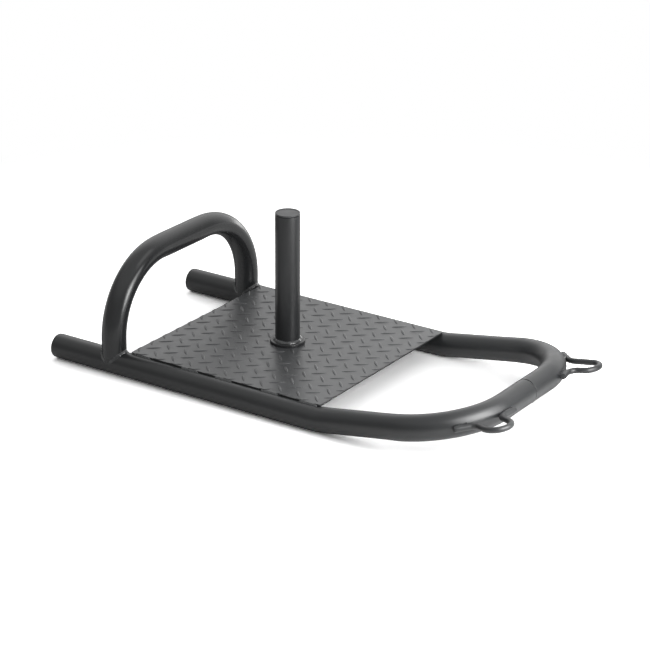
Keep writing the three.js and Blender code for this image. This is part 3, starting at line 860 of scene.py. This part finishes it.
def eye_bead(eye, foot, level, seed):
    """The bead beside a foot's straight leg, above or below it: its toes lie on the tube's wall,
    13.5 degrees over the nose's plane, and on the bar, 72 degrees over it. Along the foot the
    wall falls back by t^2 / 2R from the point where it touches."""
    line = eye_line(eye)
    angle = foot_angles[foot]
    seat, heading = foot_line(angle)
    outward = np.array([math.cos(angle), math.sin(angle)])
    tangent = nose_place(heading[0], eye["side"] * heading[1], 0.0) - nose_place(0.0, 0.0, 0.0)
    foot_point = nose_place(seat[0], eye["side"] * seat[1], 0.0)
    leg = 0 if foot == "outer" else -1
    start = float((line["start"][leg] - foot_point) @ tangent)
    length = float(line["length"][leg])
    t = start + length / 2 + np.linspace(-0.46, 0.46, 81) * length
    recess = t ** 2 / (2 * (nose_bend + stock_radius))
    tube_axis = -(stock_radius + seat_gap + bar_radius)

    def lifted(aside, height):
        flat = seat + heading * t[:, None] + outward * aside[:, None]
        return nose_place(flat[:, 0], eye["side"] * flat[:, 1], level * (height + 0 * t))

    corner = lifted(-bar_radius - recess / 2, root_height)
    toe_wall = lifted(tube_axis - recess + tube_radius * math.cos(toe_angle_on_wall),
                      tube_radius * math.sin(toe_angle_on_wall))
    toe_bar = lifted(0 * t - eye_radius * math.cos(toe_angle_on_bar),
                     eye_radius * math.sin(toe_angle_on_bar))
    return weld_bead(corner, toe_wall - corner, toe_bar - corner, pitch=0.0034, ripple=0.0002,
                     seed=seed, taper=0.003)


for name, eye in eyes.items():
    piece(f"tow_eye_{name}", [bar(eye_line(eye), eye_radius, nose_normal)], tube_coat)
    for number, (foot, place) in enumerate((f, p) for f in foot_angles for p in ("upper", "lower")):
        bead = eye_bead(eye, foot, 1 if place == "upper" else -1, seed=40 + 7 * eye["side"] + number)
        piece(f"tow_eye_weld_{name}_{foot}_{place}", [bead], weld_coat)

# The sleeve inside the seam keeps its CAD shape.
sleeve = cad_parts["nose_sleeve"]
sleeve.data.materials.clear()
sleeve.data.materials.append(tube_coat)


# Floor, light and camera

floor_reach = 40
floor_lines = 9
floor_drop = 0.0002
marks = np.linspace(-floor_reach, floor_reach, floor_lines)
floor_x, floor_y = np.meshgrid(marks, marks, indexing="ij")
floor_points = np.stack([floor_x, floor_y, 0 * floor_x - floor_drop], axis=-1)
corners = np.arange(floor_lines ** 2).reshape(floor_lines, floor_lines)
floor_faces = np.stack([corners[:-1, :-1], corners[1:, :-1], corners[1:, 1:], corners[:-1, 1:]], axis=-1)
floor_mesh = bpy.data.meshes.new("studio_floor")
floor_mesh.from_pydata(floor_points.reshape(-1, 3).tolist(), [], floor_faces.reshape(-1, 4).tolist())
floor = bpy.data.objects.new("studio_floor", floor_mesh)
bpy.context.scene.collection.objects.link(floor)

# Matt white studio paper. The camera sees it brighter than it lights the sled, and brighter
# still outside the nose, so that only the deep shadows show there. The nose's inside starts
# ahead of the post and ends under the runners. From 0.8 m away from the sled's middle the paper
# turns into the plain white backdrop, which gloss sees darker away from the far wall.
paper_inside_nose = (1.0, 1.0, 1.0, 1.0)
paper_outside_nose = (1.65, 1.65, 1.65, 1.0)
far_side = (-0.25, 0.97, 0.0)
paper, paper_tree = new_material("matt_white_studio_paper")
path = add(paper_tree, "LightPath").outputs
mirrored = add(paper_tree, "Math", {0: path["Is Glossy Ray"], 1: path["Is Transmission Ray"]},
               operation="MAXIMUM").outputs["Value"]
seen = add(paper_tree, "Math", {0: path["Is Camera Ray"], 1: mirrored},
           operation="MAXIMUM").outputs["Value"]
place = add(paper_tree, "TexCoord").outputs["Object"]
away = add(paper_tree, "VectorMath", {0: place}, operation="LENGTH").outputs["Value"]
far = add(paper_tree, "MapRange", {"Value": away, "From Min": 0.8, "From Max": 1.6},
          interpolation_type="SMOOTHSTEP").outputs["Result"]
white = add(paper_tree, "Math", {0: seen, 1: far}, operation="MULTIPLY").outputs["Value"]
behind = add(paper_tree, "VectorMath", {0: place, 1: far_side},
             operation="DOT_PRODUCT").outputs["Value"]
mirror_level = add(paper_tree, "MapRange", {"Value": behind, "From Min": -1.0, "From Max": 1.0,
                                            "To Min": 0.4, "To Max": 1.0}).outputs["Result"]
level = add(paper_tree, "Mix", {"Factor": path["Is Camera Ray"], "A": mirror_level, "B": 1.0},
            data_type="FLOAT").outputs["Result"]
matt = add(paper_tree, "BsdfDiffuse", {"Color": colour("#dcdcdc")}).outputs["BSDF"]
split = add(paper_tree, "SeparateXYZ", {0: place}).outputs
ahead = add(paper_tree, "MapRange", {"Value": split["X"], "From Min": -0.05,
                                     "From Max": 0.05}).outputs["Result"]
aside = add(paper_tree, "Math", {0: split["Y"]}, operation="ABSOLUTE").outputs["Value"]
between = add(paper_tree, "MapRange", {"Value": aside, "From Min": 0.24,
                                       "From Max": 0.19}).outputs["Result"]
inside = add(paper_tree, "Math", {0: ahead, 1: between}, operation="MULTIPLY").outputs["Value"]
shown = add(paper_tree, "Mix", {"Factor": inside, "A": paper_outside_nose, "B": paper_inside_nose},
            data_type="RGBA").outputs["Result"]
bright = add(paper_tree, "BsdfDiffuse", {"Color": shown}).outputs["BSDF"]
close = add(paper_tree, "MixShader", {"Fac": path["Is Camera Ray"], 1: matt, 2: bright})
backdrop = add(paper_tree, "Emission", {"Color": (1, 1, 1, 1), "Strength": level})
both = add(paper_tree, "MixShader", {"Fac": white, 1: close.outputs["Shader"],
                                     2: backdrop.outputs["Emission"]}).outputs["Shader"]
add(paper_tree, "OutputMaterial", {"Surface": both})
floor_mesh.materials.append(paper)

# A grey room with a paler ceiling and a white wall on the sled's far left side.
room_grey, room_wall, room_ceiling = 0.38, 1.38, 0.43
wall_direction = (-0.301, 0.932, 0.2)
world = bpy.data.worlds.new("studio_room")
bpy.context.scene.world = world
world.use_nodes = True
room_tree = world.node_tree
room_tree.nodes.clear()
direction = add(room_tree, "TexCoord").outputs["Generated"]
facing = add(room_tree, "VectorMath", {0: direction, 1: wall_direction},
             operation="DOT_PRODUCT").outputs["Value"]
wall = add(room_tree, "MapRange", {"Value": facing, "From Min": 0.4, "From Max": 0.97,
                                   "To Min": room_grey, "To Max": room_wall},
           interpolation_type="SMOOTHSTEP").outputs["Result"]
upward = add(room_tree, "SeparateXYZ", {0: direction}).outputs["Z"]
ceiling = add(room_tree, "MapRange", {"Value": upward, "From Min": 0.35, "From Max": 0.8,
                                      "To Max": room_ceiling},
              interpolation_type="SMOOTHSTEP").outputs["Result"]
room = add(room_tree, "Math", {0: wall, 1: ceiling}, operation="ADD").outputs["Value"]
glow = add(room_tree, "Background", {"Color": (1, 1, 1, 1), "Strength": room}).outputs["Background"]
add(room_tree, "OutputWorld", {"Surface": glow})


def softbox(name, place, aim, width, height, power):
    """A rectangular lamp at place, its face turned to aim."""
    lamp = bpy.data.lights.new(name, "AREA")
    lamp.shape, lamp.size, lamp.size_y, lamp.energy = "RECTANGLE", width, height, power
    made = bpy.data.objects.new(name, lamp)
    made.location = place
    made.rotation_euler = (Vector(aim) - Vector(place)).to_track_quat("-Z", "Y").to_euler()
    made.visible_camera = False
    bpy.context.scene.collection.objects.link(made)


# A weak lamp overhead, a large one ahead of the nose with a brighter middle, which draws the
# highlights on the nose, the post and the handle, and a low one along the far wall.
near_nose_bend = (0.3, -0.12, 0.1)
softbox("overhead_softbox", (0.9, 0.3, 2.1), (0.0, 0.0, 0.0), 1.2, 0.9, 3)
softbox("front_softbox", (0.86, -0.14, 0.38), near_nose_bend, 0.75, 0.7, 7.4)
softbox("front_softbox_middle", (0.84, -0.17, 0.365), near_nose_bend, 0.34, 0.34, 3.2)
softbox("low_wall_softbox", (-0.3, 1.5, 0.16), (0.3, 0.1, 0.05), 0.9, 0.24, 2.4)

# The camera that the photograph was taken with, worked out from the edges of the frame. Its
# focal length is in pixels of the photograph.
azimuth, elevation, roll = math.radians(33.886), math.radians(22.212), math.radians(0.368)
target = Vector((-0.16560, 0.22377, 0))
distance = 5.0846
focal_pixels = 2411.804
photo_pixels = 650
sensor_width = 36
back = Vector((math.sin(azimuth) * math.cos(elevation), -math.cos(azimuth) * math.cos(elevation),
               math.sin(elevation)))
right = Vector((math.cos(azimuth), math.sin(azimuth), 0))
up = back.cross(right)
right, up = right * math.cos(roll) + up * math.sin(roll), up * math.cos(roll) - right * math.sin(roll)
stand = target + back * distance
lens = bpy.data.cameras.new("studio_camera")
lens.sensor_fit = "HORIZONTAL"
lens.sensor_width = sensor_width
lens.lens = sensor_width * focal_pixels / photo_pixels
camera = bpy.data.objects.new("studio_camera", lens)
camera.matrix_world = Matrix([[right[i], up[i], back[i], stand[i]] for i in range(3)] + [[0, 0, 0, 1]])
bpy.context.scene.collection.objects.link(camera)
bpy.context.scene.camera = camera
bpy.context.scene.view_settings.view_transform = "Standard"
